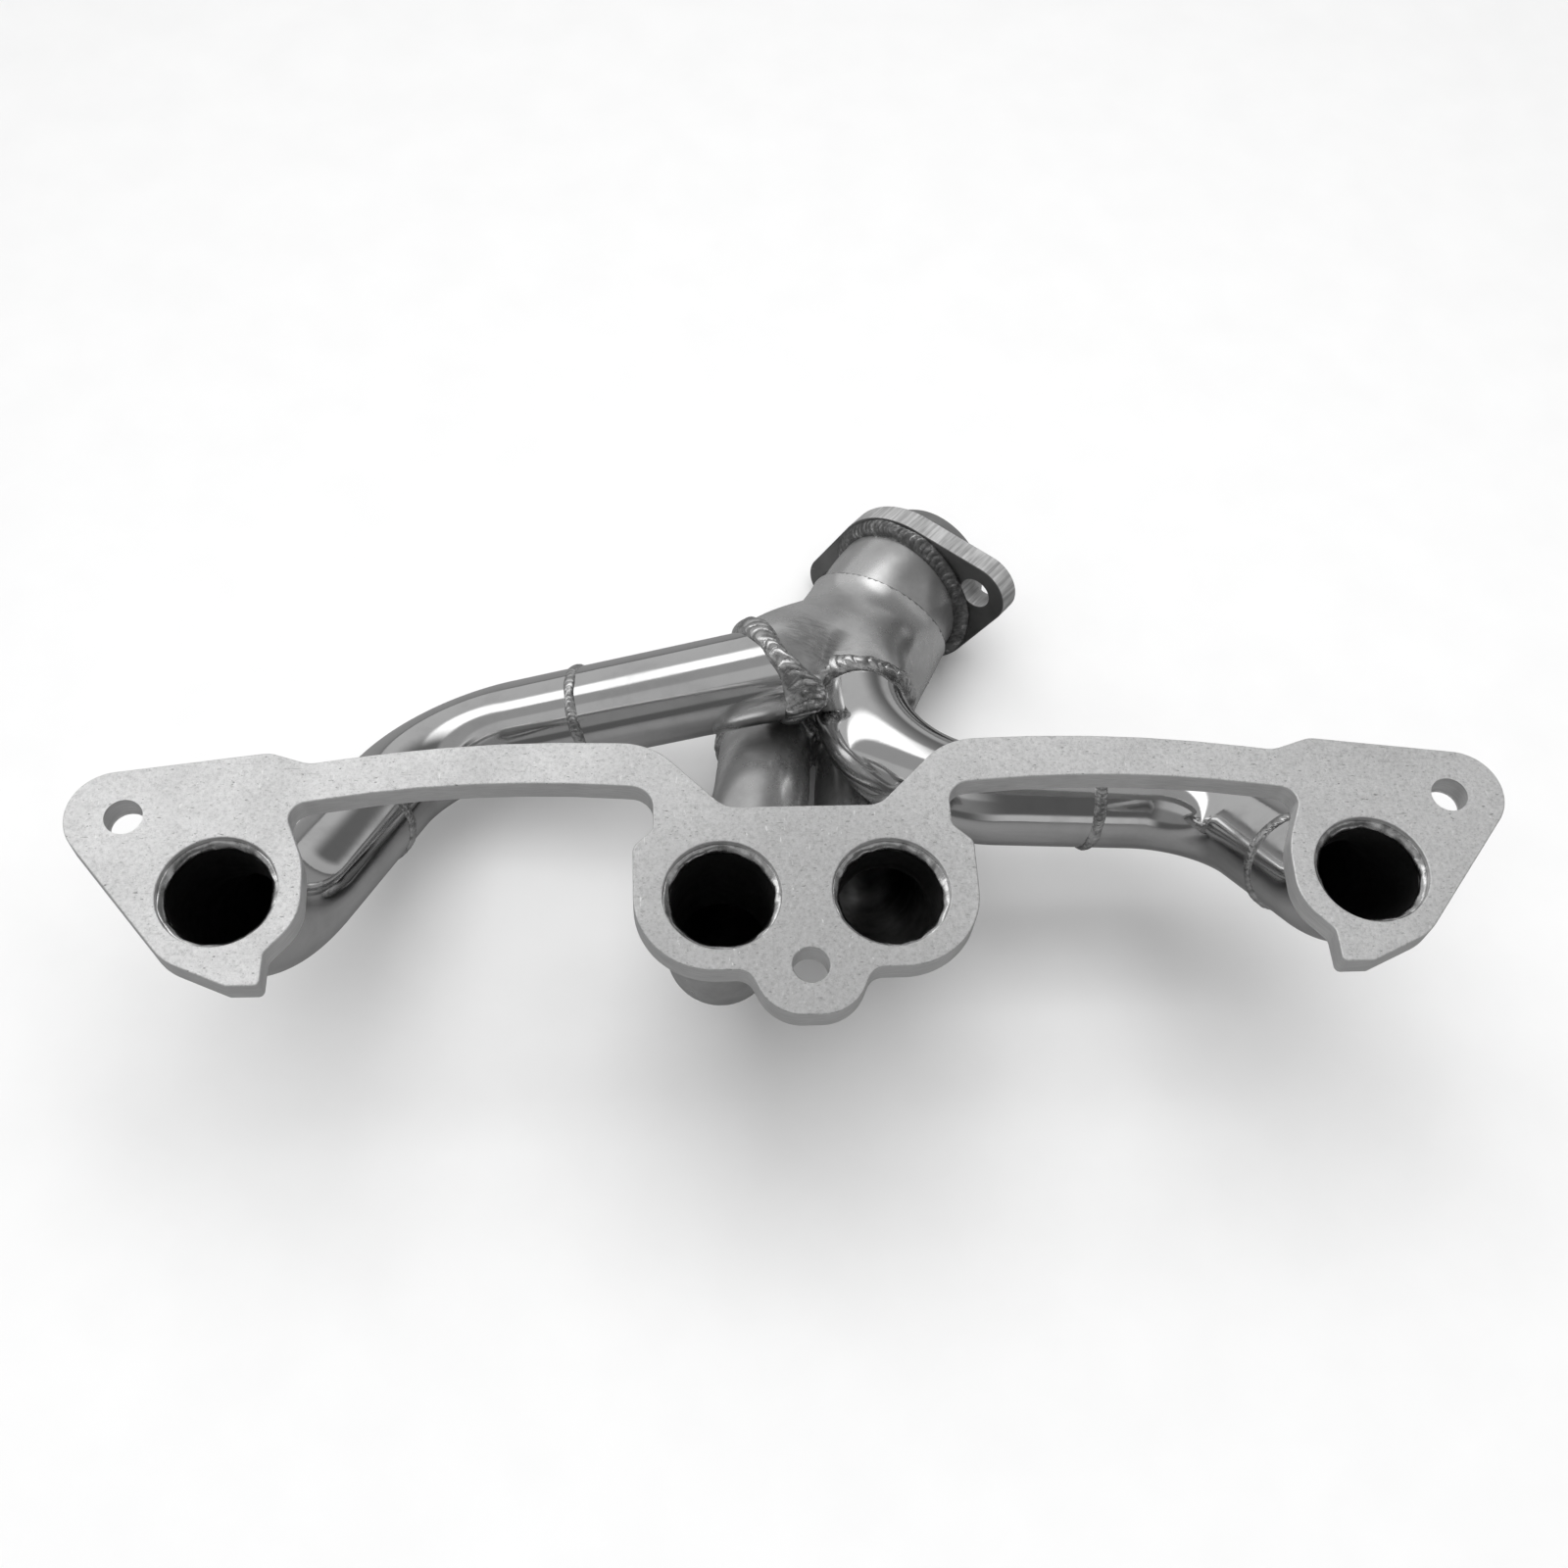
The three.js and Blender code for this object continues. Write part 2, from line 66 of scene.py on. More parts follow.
SEAT_R, SEAT_CENTRE, SEAT_BORE_R, SEAT_LIP_R = 31.7, 6.0, 24.0, 25.8
LOBE_PULL, LOBE_KEEP = 0.42, 0.1          # a lobe's handle length, and how much keeps its radius
BUTT_HALF, INLET_TOE = 2.5, 3.4           # reach of a butt weld each way, of an inlet weld back
FILLET_PIPE, FILLET_FACE = 4.7, 5.4       # legs of the outlet flange's fillet weld

# Right half of the port flange as [x, y, corner radius], from the top middle round to the
# bottom middle.
HALF_OUTLINE = [
    (26.6, 33, 10), (51.5, 58.4, 25), (112, 61.1, 480), (168, 52.4, 12), (181.5, 57, 10),
    (262.6, 46.5, 17), (209, -19.6, 20), (188, -29, 3), (177.3, -29, 2), (177, -17.5, 4),
    (166.4, -5.5, 20), (167, 15, 30), (175.3, 36.3, 6), (112, 46.3, 410), (51, 40.9, 8),
    (51, 25, 4), (58, 18.5, 5), (58, -27.3, 27), (20.5, -27.3, 6), (13, -43.5, 16),
]

# Each tube's centreline: its corner points, and the bend radius at each inner corner.
ROUTES = {
    "tube_1": ([(-OUTER_PORT_X, OUTER_PORT_Y, -TUBE_RECESS), (-OUTER_PORT_X, OUTER_PORT_Y, -52.3),
                (-142.8, 127.9, -117.8), (-6, 128.1, -66.9)], [69, 48]),
    "tube_2": ([(-INNER_PORT_X, 0, -TUBE_RECESS), (-INNER_PORT_X, 0, -72), (-9, 80, -85),
                (-3, 132, -124)], [38, 55]),
    "tube_3": ([(INNER_PORT_X, 0, -TUBE_RECESS), (INNER_PORT_X, 0, -26), (30, 60, -102),
                (38, 132, -124)], [38, 50]),
    "tube_4": ([(OUTER_PORT_X, OUTER_PORT_Y, -TUBE_RECESS), (OUTER_PORT_X, OUTER_PORT_Y, -26),
                (169.2, 75.4, -82.4), (32, 72, -63.3), (32.8, 128.1, -79.6)], [36, 38.9, 46]),
}
BUTT_WELDS = {"tube_1": [129, 243], "tube_4": [54, 153.5]}
SECTION_NAMES = ["_port", "_middle", "_upper"]

# The photograph's viewing direction.
CAMERA_AT = Vector((-0.0478, -0.2625, 0.5508))
CAMERA_LOOK = Vector((0.0665, 0.4821, -0.8736)).normalized()
CAMERA_UP = Vector((0.0161, 0.8749, 0.4840))
CAMERA_LENS = 42.06

TUBE_SIDES = 96
BEND_STEP = math.radians(2.0)
CELL = 1.3                # grid spacing for the collector's skin
ROWS_PER_COIN = 10        # rows of points across each ripple of a weld
BEAD_SINK = 0.12          # how far a weld's edges are sunk into the metal
BEAD_SKIRT = 0.5          # depth of a weld's hidden underside


# ---- node graphs ----

class Graph:
    """A small helper that adds shader nodes and links them."""

    def __init__(self, tree):
        self.tree = tree
        tree.nodes.clear()

    def add(self, kind, inputs=None, **settings):
        node = self.tree.nodes.new("ShaderNode" + kind)
        for key, value in settings.items():
            setattr(node, key, value)
        for key, value in (inputs or {}).items():
            self.plug(node.inputs[key], value)
        return node

    def plug(self, socket, value):
        if isinstance(value, bpy.types.NodeSocket):
            self.tree.links.new(value, socket)
        else:
            socket.default_value = value

    def maths(self, operation, a, b=0.0, clamp=False):
        node = self.add("Math", {0: a, 1: b}, operation=operation, use_clamp=clamp)
        return node.outputs[0]

    def ramp(self, factor, stops, interpolation="LINEAR"):
        """A colour ramp from (position, grey or colour) pairs."""
        node = self.add("ValToRGB", {"Fac": factor})
        ramp = node.color_ramp
        ramp.interpolation = interpolation
        while len(ramp.elements) < len(stops):
            ramp.elements.new(0.5)
        for element, (position, value) in zip(ramp.elements, stops):
            element.position = position
            colour = (value,) * 3 if isinstance(value, (int, float)) else value
            element.color = (*colour, 1.0)
        return node.outputs["Color"]

    def mix(self, factor, a, b, blend="MIX"):
        node = self.add("Mix", data_type="RGBA", blend_type=blend)
        self.plug(node.inputs["Factor"], factor)
        for name, value in (("A", a), ("B", b)):
            socket = next(s for s in node.inputs if s.name == name and s.type == "RGBA")
            if isinstance(value, (int, float)):
                value = (value, value, value, 1.0)
            self.plug(socket, value)
        return next(s for s in node.outputs if s.type == "RGBA")

    def noise(self, vector, scale, detail=3.0, rough=0.5):
        inputs = {"Vector": vector, "Scale": scale, "Detail": detail, "Roughness": rough}
        return self.add("TexNoise", inputs).outputs["Fac"]

    def stretched(self, vector, factors):
        return self.add("Mapping", {"Vector": vector, "Scale": factors}).outputs[0]

    def bump(self, height, distance, strength=1.0, normal=None):
        inputs = {"Height": height, "Distance": distance, "Strength": strength}
        node = self.add("Bump", inputs)
        if normal is not None:
            self.plug(node.inputs["Normal"], normal)
        return node.outputs["Normal"]


def metal(name, build, metallic=1.0):
    """A metallic material; build(graph, position) returns colour, roughness and normal."""
    material = bpy.data.materials.new(name)
    material.use_nodes = True
    graph = Graph(material.node_tree)
    position = graph.add("TexCoord").outputs["Object"]
    colour, rough, normal = build(graph, position)
    shader = graph.add("BsdfPrincipled", {"Base Color": colour, "Metallic": metallic,
                                          "Roughness": rough, "Normal": normal})
    out = graph.add("OutputMaterial")
    graph.tree.links.new(shader.outputs[0], out.inputs["Surface"])
    return material


# ---- materials ----

PATCH_AT = Vector((15.5, 139.0, -53.0))   # middle of the brushed patch on the collector


def blasted_look(g, p):
    """Bead-blasted plate: coarse speckle, small dark pits, scratches and a faint stain."""
    grain = g.noise(p, 850, 3.0, 0.75)
    speckle = g.ramp(grain, [(0.30, 0.62), (0.46, 0.80), (0.60, 0.88), (0.74, 0.97)])
    cloud = g.ramp(g.noise(p, 22, 5.0, 0.6), [(0.28, 0.85), (0.50, 0.94), (0.72, 1.0)])
    colour = g.mix(1.0, speckle, cloud, "MULTIPLY")
    from_middle = g.add("VectorMath", {0: p, 1: (0.0, -0.03, 0.0)}, operation="DISTANCE")
    handled = g.ramp(from_middle.outputs["Value"], [(0.01, 0.68), (0.06, 0.78), (0.11, 0.97)])
    colour = g.mix(1.0, colour, handled, "MULTIPLY")
    pits = g.noise(g.stretched(p, (1.0, 2.4, 1.0)), 480, 2.0, 0.6)
    colour = g.mix(g.ramp(pits, [(0.28, 0.85), (0.34, 0.0)]), colour, 0.28)
    lines = g.noise(g.stretched(p, (1.0, 14.0, 1.0)), 70, 3.0)
    colour = g.mix(g.ramp(lines, [(0.25, 0.50), (0.30, 0.0)]), colour, 0.40)
    # Painted highlights: small bright glints painted into the colour.
    painted_glints = g.noise(g.stretched(p, (3.0, 1.0, 1.0)), 260, 2.0, 0.7)
    colour = g.mix(g.ramp(painted_glints, [(0.68, 0.0), (0.74, 0.6)]), colour, 0.97)
    cloud = g.noise(p, 40, 3.0)
    rough = g.ramp(cloud, [(0.3, 0.46), (0.7, 0.58)])
    normal = g.bump(grain, 0.00020, 0.65)
    normal = g.bump(pits, 0.0003, 0.45, normal)
    return colour, rough, normal


def edge_look(g, p):
    """The sawn and brushed edge of the port flange: fine lines along its length."""
    lines = g.noise(g.stretched(p, (1.0, 1.0, 16.0)), 160, 3.0, 0.6)
    cloud = g.noise(p, 60, 4.0)
    colour = g.mix(0.5, g.ramp(lines, [(0.3, 0.55), (0.7, 0.85)]),
                   g.ramp(cloud, [(0.3, 0.60), (0.7, 0.85)]))
    rough = g.ramp(cloud, [(0.3, 0.30), (0.7, 0.40)])
    return colour, rough, g.bump(lines, 0.00015, 0.4)


def polished_look(g, p):
    """Mirror-polished tube with faint smudges and fine polishing marks."""
    smudge = g.noise(p, 45, 5.0, 0.62)
    marks = g.noise(g.stretched(p, (1.0, 1.0, 0.25)), 900, 2.0)
    colour = g.ramp(smudge, [(0.30, 0.62), (0.50, 0.70), (0.75, 0.74)])
    rough = g.ramp(smudge, [(0.34, 0.15), (0.52, 0.08), (0.70, 0.06)])
    normal = g.bump(g.noise(p, 55, 2.0, 0.4), 0.0006, 0.10)
    normal = g.bump(marks, 0.00002, 0.25, normal)
    return colour, rough, normal


def satin_look(g, p):
    """The outlet pipe and the two inner tubes: brushed to an even satin grey."""
    lines = g.noise(g.stretched(p, (1.0, 0.2, 1.0)), 700, 2.0, 0.6)
    cloud = g.noise(p, 50, 5.0, 0.6)
    colour = g.ramp(cloud, [(0.30, 0.48), (0.52, 0.62), (0.74, 0.70)])
    rough = g.ramp(cloud, [(0.32, 0.34), (0.68, 0.24)])
    return colour, rough, g.bump(lines, 0.00006, 0.35)


def formed_look(g, p):
    """Pressed and polished collector sheet, with a dark brushed patch beside tube 1's weld."""
    smudge = g.noise(p, 38, 6.0, 0.65)
    colour = g.ramp(smudge, [(0.32, 0.60), (0.50, 0.75), (0.72, 0.82)])
    strokes = g.noise(g.stretched(p, (1.0, 6.0, 1.0)), 170, 3.0, 0.6)
    away = g.add("VectorMath", {0: p, 1: PATCH_AT * MM}, operation="DISTANCE").outputs["Value"]
    ragged = g.maths("MULTIPLY_ADD", strokes, 0.012)
    g.plug(ragged.node.inputs[2], away)
    patch = g.ramp(ragged, [(0.012, 0.55), (0.016, 0.45), (0.021, 0.0)])
    colour = g.mix(patch, colour, g.ramp(strokes, [(0.35, 0.16), (0.65, 0.45)]))
    rough = g.ramp(smudge, [(0.34, 0.34), (0.55, 0.25), (0.72, 0.20)])
    normal = g.bump(g.noise(p, 60, 3.0, 0.45), 0.0008, 0.16)
    return colour, rough, normal


def bore_look(g, p):
    """The unpolished, dark inside of the tubes."""
    cloud = g.noise(p, 90, 4.0)
    colour = g.ramp(cloud, [(0.3, 0.28), (0.7, 0.50)])
    rough = g.ramp(cloud, [(0.3, 0.40), (0.7, 0.28)])
    return colour, rough, g.bump(g.noise(p, 300, 2.0), 0.0002, 0.3)


def beside_outlet(g, p):
    """Coordinates in the outlet flange's own axes, from those of the whole header."""
    place, turn, _ = outlet_frame().decompose()
    inputs = {"Vector": p, "Location": place, "Rotation": turn.to_euler()}
    return g.add("Mapping", inputs, vector_type="TEXTURE").outputs[0]


def cut_edge_look(g, p):
    """The laser-cut rim of the outlet flange: lines that run across its thickness."""
    q = beside_outlet(g, p)
    lines = g.noise(g.stretched(q, (1.0, 1.0, 0.06)), 800, 2.0, 0.6)
    cloud = g.noise(g.stretched(q, (1.0, 1.0, 0.5)), 120, 3.0)
    colour = g.mix(0.45, g.ramp(lines, [(0.34, 0.22), (0.66, 0.68)]),
                   g.ramp(cloud, [(0.35, 0.34), (0.65, 0.72)]))
    rough = g.ramp(cloud, [(0.3, 0.34), (0.7, 0.48)])
    return colour, rough, g.bump(lines, 0.0004, 0.55)


def scaled_look(g, p):
    """The outlet flange's flat sides, darkened by heat beside the weld."""
    cloud = g.noise(p, 70, 4.0)
    q = beside_outlet(g, p)
    scratches = g.noise(g.stretched(q, (1.0, 9.0, 1.0)), 90, 3.0)
    colour = g.ramp(cloud, [(0.3, 0.20), (0.7, 0.29)])
    colour = g.mix(g.ramp(scratches, [(0.66, 0.0), (0.72, 0.4)]), colour, 0.5)
    rough = g.ramp(cloud, [(0.3, 0.34), (0.7, 0.42)])
    return colour, rough, g.bump(g.noise(p, 900, 2.0), 0.0001, 0.3)


def turned_look(g, p):
    """The seat's lathe-turned surface: fine grooves round its axis."""
    separate = g.add("SeparateXYZ", {"Vector": beside_outlet(g, p)})
    grooves = g.maths("SINE", g.maths("MULTIPLY", separate.outputs["Z"], 9000.0))
    cloud = g.noise(p, 80, 3.0)
    colour = g.ramp(cloud, [(0.3, 0.46), (0.7, 0.60)])
    rough = g.ramp(cloud, [(0.3, 0.28), (0.7, 0.36)])
    return colour, rough, g.bump(grooves, 0.00003, 0.35)


def bead_look(g, p):
    """Bright weld metal with darker, slightly oxidised patches."""
    patch = g.noise(p, 260, 4.0, 0.6)
    colour = g.ramp(patch, [(0.32, 0.26), (0.50, 0.54), (0.70, 0.74)])
    rough = g.ramp(patch, [(0.35, 0.32), (0.60, 0.17)])
    return colour, rough, g.bump(g.noise(p, 1400, 2.0), 0.00012, 0.35)


def dark_bead_look(g, p):
    """Weld metal dulled by heat scale, with a few bright spots."""
    patch = g.noise(p, 330, 4.0, 0.6)
    colour = g.ramp(patch, [(0.40, 0.15), (0.58, 0.25), (0.72, 0.50)])
    rough = g.ramp(patch, [(0.35, 0.42), (0.65, 0.26)])
    return colour, rough, g.bump(g.noise(p, 1200, 2.0), 0.00015, 0.4)


# ---- meshes ----

def finish_piece(piece, slot, *nodes):
    """Hangs a piece on the model's only body, in place of the CAD nodes it stands for."""
    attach(piece, "root")
    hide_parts(*nodes)
    return piece


def new_piece(name, points, faces, materials, sharp=40.0):
    """A smooth-shaded mesh object from points in millimetres."""
    mesh = bpy.data.meshes.new(name)
    mesh.from_pydata((np.asarray(points, float) * MM).tolist(), [], np.asarray(faces).tolist())
    mesh.polygons.foreach_set("use_smooth", [True] * len(mesh.polygons))
    mesh.set_sharp_from_angle(angle=math.radians(sharp))
    for material in materials:
        mesh.materials.append(material)
    piece = bpy.data.objects.new(name, mesh)
    bpy.context.scene.collection.objects.link(piece)
    return piece


def grid_faces(rows, columns, close_rows=False, close_columns=True):
    """Quads between neighbouring rows of points."""
    i = np.arange(rows if close_rows else rows - 1)[:, None]
    j = np.arange(columns if close_columns else columns - 1)[None, :]
    i2, j2 = (i + 1) % rows, (j + 1) % columns
    corners = [i * columns + j, i * columns + j2, i2 * columns + j2, i2 * columns + j]
    return np.stack([np.broadcast_to(c, (i.size, j.size)) for c in corners], -1).reshape(-1, 4)


def circle(sides):
    angles = 2 * math.pi * np.arange(sides) / sides
    return np.stack([np.cos(angles), np.sin(angles)], -1)


def unit(v):
    v = np.asarray(v, float)
    return v / np.linalg.norm(v, axis=-1, keepdims=True)


# ---- centrelines ----

def stations_of(corners, radii, straight_step=6.0):
    """Points, directions and distances along a polyline whose inner corners are rounded."""
    corners = [np.array(c, float) for c in corners]
    points, headings = [corners[0]], [unit(corners[1] - corners[0])]

    def run_to(point, heading):
        gap = np.linalg.norm(point - points[-1])
        start = points[-1]
        for k in range(1, max(1, math.ceil(gap / straight_step)) + 1):
            points.append(start + (point - start) * k / max(1, math.ceil(gap / straight_step)))
            headings.append(heading)

    for i in range(1, len(corners) - 1):
        into = unit(corners[i] - corners[i - 1])
        out = unit(corners[i + 1] - corners[i])
        turn = math.acos(float(np.clip(into @ out, -1, 1)))
        radius = radii[i - 1]
        start = corners[i] - into * radius * math.tan(turn / 2)
        inward = unit(out - into * (out @ into))
        run_to(start, into)
        steps = math.ceil(turn / BEND_STEP)
        for k in range(1, steps + 1):
            a = turn * k / steps
            points.append(start + into * radius * math.sin(a) + inward * radius * (1 - math.cos(a)))
            headings.append(into * math.cos(a) + inward * math.sin(a))
    run_to(corners[-1], unit(corners[-1] - corners[-2]))
    points, headings = np.array(points), np.array(headings)
    steps = np.linalg.norm(np.diff(points, axis=0), axis=1)
    return points, headings, np.concatenate([[0.0], np.cumsum(steps)])


def at_distance(line, s):
    """The point and direction at a distance along a centreline."""
    points, headings, along = line
    point = np.array([np.interp(s, along, points[:, k]) for k in range(3)])
    heading = unit(np.array([np.interp(s, along, headings[:, k]) for k in range(3)]))
    return point, heading


def cut_out(line, s0, s1):
    """The part of a centreline between two distances."""
    points, headings, along = line
    keep = (along > s0 + 0.2) & (along < s1 - 0.2)
    (p0, h0), (p1, h1) = at_distance(line, s0), at_distance(line, s1)
    return np.vstack([p0, points[keep], p1]), np.vstack([h0, headings[keep], h1])


def rings(points, headings, radius, sides=TUBE_SIDES):
    """Circles square to a curve, turned as little as possible from one to the next."""
    side = unit(np.cross(headings[0], [0.3, 0.2, 0.93]))
    spokes = circle(sides)
    loops = []
    for point, heading in zip(points, headings):
        side = unit(side - heading * (side @ heading))
        up = np.cross(heading, side)
        loops.append(point + radius * (spokes[:, :1] * side + spokes[:, 1:] * up))
    return np.array(loops)


def slide_onto(loop, centre, heading, normal):
    """Slides a loop's points along a heading onto the plane through centre."""
    off = loop - centre
    return loop - heading * ((off @ normal) / (heading @ normal))[:, None]


def tube_piece(name, points, headings, radius, wall, materials, slant=None):
    """A hollow tube; its inside has the second material."""
    outer = rings(points, headings, radius)
    inner = rings(points, headings, radius - wall)
    if slant is not None:
        outer[-1] = slide_onto(outer[-1], points[-1], headings[-1], slant)
        inner[-1] = slide_onto(inner[-1], points[-1], headings[-1], slant)
    loops = np.concatenate([outer, inner[::-1]])
    faces = grid_faces(len(loops), TUBE_SIDES, close_rows=True)
    piece = new_piece(name, loops.reshape(-1, 3), faces, materials)
    first_inner = len(outer) * TUBE_SIDES
    index = (faces.min(axis=1) >= first_inner - TUBE_SIDES).astype(np.int32)
    index[-TUBE_SIDES:] = 1
    piece.data.polygons.foreach_set("material_index", index)
    return piece


LINES = {name: stations_of(*route) for name, route in ROUTES.items()}


def inlet_of(name):
    """Where the collector's lip is on a tube, the normal of its mouth, and the way it leads."""
    line = LINES[name]
    end = line[2][-1]
    if name != "tube_1":
        point, heading = at_distance(line, end - LIP)
        return point, heading, heading
    point, heading = at_distance(line, end)
    away = np.array(MITRE_OUT)
    return point + heading * GAP, unit(heading + away), away


INLETS = {name: inlet_of(name) for name in ROUTES}


# ---- weld beads ----

# How far each inlet weld reaches over the collector, and how much further on one side of it.
INLET_BEADS = {
    "tube_1": dict(side=(0, -1, 0.2), reach=8.5, swell=8.0, height=2.5, pitch=5.0, ripple=1.0),
    "tube_2": dict(side=(0, -1, 0), reach=1.6, swell=0.0, height=1.6, pitch=3.2, ripple=0.5),
    "tube_3": dict(side=(0, -1, 0), reach=1.6, swell=0.0, height=1.6, pitch=3.2, ripple=0.5),
    "tube_4": dict(side=(-1, 0, 0.4), reach=2.6, swell=9.0, height=2.1, pitch=4.0, ripple=0.8),
}


def wobble(turns, seed, waves=(2, 3, 5, 8, 13)):
    """Smooth periodic noise, about -1 to 1, along a closed loop."""
    chance = random.Random(seed)
    total = np.zeros_like(turns)
    for wave in waves:
        total += chance.uniform(0.4, 1.0) * np.sin(2 * math.pi * (wave * turns + chance.random()))
    return total / len(waves) ** 0.5


def bead_piece(name, toe_a, toe_b, bulge, materials, height=1.2, pitch=2.1, ripple=0.28, bow=0.9,
               ragged=0.35, seed=1, across=15):
    """A weld bead between two closed toe lines, crowned along bulge and rippled like coins."""
    chance = random.Random(seed)
    middle = (toe_a + toe_b) / 2
    length = np.linalg.norm(np.roll(middle, -1, axis=0) - middle, axis=1)
    coins = max(8, round(length.sum() / pitch))
    rows = coins * ROWS_PER_COIN
    turns = np.arange(rows) / rows
    source = np.concatenate([[0.0], np.cumsum(length)]) / length.sum()

    def resample(loop):
        closed = np.vstack([loop, loop[:1]])
        return np.stack([np.interp(turns, source, closed[:, k]) for k in range(3)], -1)

    a, b, up = resample(toe_a), resample(toe_b), unit(resample(bulge))
    edges = np.arange(coins) + np.array([chance.uniform(-0.22, 0.22) for _ in range(coins)])
    rise = np.array([chance.gauss(0, 0.35) for _ in range(coins)])
    drift = np.array([chance.gauss(0, 0.5) for _ in range(coins)])
    v = np.linspace(-1, 1, across)
    place = turns[:, None] * coins - bow * (v ** 2)[None, :]
    wrapped = np.mod(place, coins)
    border = np.concatenate([edges, edges[:1] + coins])
    coin = np.clip(np.searchsorted(border, wrapped, side="right") - 1, -1, coins - 1)
    low = np.where(coin < 0, border[-2] - coins, border[np.maximum(coin, 0)])
    high = np.where(coin < 0, border[0], border[coin + 1])
    share = np.clip((wrapped - low) / (high - low), 0, 1)
    scallop = np.sqrt(np.clip(1 - (2 * share ** 0.8 - 1) ** 2, 0, 1)) - 0.6
    crown = np.clip(1 - v ** 2, 0, 1) ** 0.7
    lift = height * (1 + 0.25 * wobble(turns, seed + 7)[:, None]) * crown[None, :]
    lift = lift + ripple * (scallop + 0.5 * rise[coin]) * np.sqrt(crown)[None, :]
    lift = lift - BEAD_SINK
    sway = ragged * (wobble(turns, seed + 3, (3, 5, 9, 16))[:, None] + 0.5 * drift[coin])
    width = 1 + 0.12 * wobble(turns, seed + 5, (2, 4, 7, 11))[:, None]
    cross = unit(b - a)
    half = np.linalg.norm(b - a, axis=1)[:, None] / 2
    centre = (a + b) / 2
    spot = (half * width * v[None, :] + sway * crown[None, :])[:, :, None]
    top = centre[:, None, :] + cross[:, None, :] * spot + up[:, None, :] * lift[:, :, None]
    under = [top[:, -1] - up * BEAD_SKIRT, top[:, 0] - up * BEAD_SKIRT]
    loops = np.concatenate([top, np.stack(under, 1)], axis=1)
    faces = grid_faces(rows, across + 2, close_rows=True)
    if np.einsum("ij,ij->i", np.cross(cross, np.roll(middle, -1, 0)[0] - middle[0]), up)[0] < 0:
        faces = faces[:, ::-1]
    return new_piece(name, loops.reshape(-1, 3), faces, materials, sharp=70.0)


def ring_toe(centre, axis, radius, along=0.0, normal=None, sides=180):
    """A circle round an axis, moved along it, and slanted onto a plane if that is given."""
    centre, axis = np.array(centre, float), unit(axis)
    loop = rings([centre], [axis], radius, sides)[0]
    if normal is not None:
        loop = slide_onto(loop, centre, axis, unit(normal))
    return loop + axis * along


def butt_weld(name, tube, s, materials, seed):
    """A narrow bead round a tube where two of its lengths meet."""
    point, heading = at_distance(LINES[tube], s)
    toes = [ring_toe(point, heading, TUBE_R, side * BUTT_HALF) for side in (-1, 1)]
    bulge = toes[0] - ring_toe(point, heading, 0.0, -BUTT_HALF)
    return bead_piece(name, *toes, bulge, materials, height=1.05, pitch=2.2, ripple=0.30, seed=seed)


def settled(loop, most=4.5, smoothing=13):
    """Moves a closed loop towards the collector's surface, never far, and evens it out."""
    move = onto_collector(loop) - loop
    length = np.linalg.norm(move, axis=1, keepdims=True)
    loop = loop + move * np.minimum(1.0, most / np.maximum(length, 1e-6))
    shifts = range(-(smoothing // 2), smoothing // 2 + 1)
    return sum(np.roll(loop, k, axis=0) for k in shifts) / smoothing


def inlet_weld(name, tube, materials, seed):
    """A broad bead from a tube onto the collector, widest in the crotch beside its neighbour."""
    style = INLET_BEADS[tube]
    point, mouth, _ = INLETS[tube]
    heading = LINES[tube][1][-1]
    on_tube = ring_toe(point, heading, TUBE_R, -INLET_TOE, mouth)
    on_lip = ring_toe(point, heading, LOBE_R, 0.0, mouth)
    near = np.clip((on_lip - point) @ unit(style["side"]) / LOBE_R, 0, 1) ** 3
    reach = style["reach"] + style["swell"] * near
    on_lip = settled(on_lip + heading * reach[:, None])
    bulge = on_tube - ring_toe(point, heading, 0.0, -INLET_TOE, mouth)
    return bead_piece(name, on_tube, on_lip, bulge, materials, height=style["height"],
                      pitch=style["pitch"], ripple=style["ripple"], ragged=1.0, seed=seed, across=21)


def port_weld(name, x, y, materials, seed):
    """The weld inside a port, from the hole's wall down to the recessed tube end."""
    up = (0.0, 0.0, 1.0)
    wall = ring_toe((x, y, 0), up, PORT_R, -2.0)
    bore = ring_toe((x, y, 0), up, TUBE_R - TUBE_WALL - 0.2, -TUBE_RECESS + 0.1)
    inward = np.array([x, y, 0]) - ring_toe((x, y, 0), up, PORT_R)
    bulge = unit(inward) * 0.6 + np.array(up) * 0.8
    return bead_piece(name, wall, bore, bulge, materials, height=0.7, pitch=7.5, ripple=0.14,
                      bow=0.3, ragged=0.6, seed=seed)


def outlet_weld(name, materials, seed):
    """The fillet weld between the outlet pipe and its flange."""
    pipe = ring_toe(OUTLET, OUTLET_AXIS, PIPE_R, -FILLET_PIPE)
    face = ring_toe(OUTLET, OUTLET_AXIS, PIPE_R + FILLET_FACE, 0.0)
    outward = unit(face - ring_toe(OUTLET, OUTLET_AXIS, 0.0, 0.0))
    bulge = outward * 0.7 - np.array(OUTLET_AXIS) * 0.7
    return bead_piece(name, pipe, face, bulge, materials, height=1.0, pitch=2.7, ripple=0.45,
                      ragged=0.5, seed=seed)


# ---- collector skin ----

def swept_distance(points, line, radii):
    """Signed distance from points to a round bar of changing radius round a polyline."""
    best = np.full(len(points), 1e9)
    for a, b, ra, rb in zip(line[:-1], line[1:], radii[:-1], radii[1:]):
        way = b - a
        t = np.clip(((points - a) @ way) / (way @ way), 0, 1)
        gap = points - a - t[:, None] * way
        best = np.minimum(best, np.sqrt(np.einsum("ij,ij->i", gap, gap)) - (ra + (rb - ra) * t))
    return best


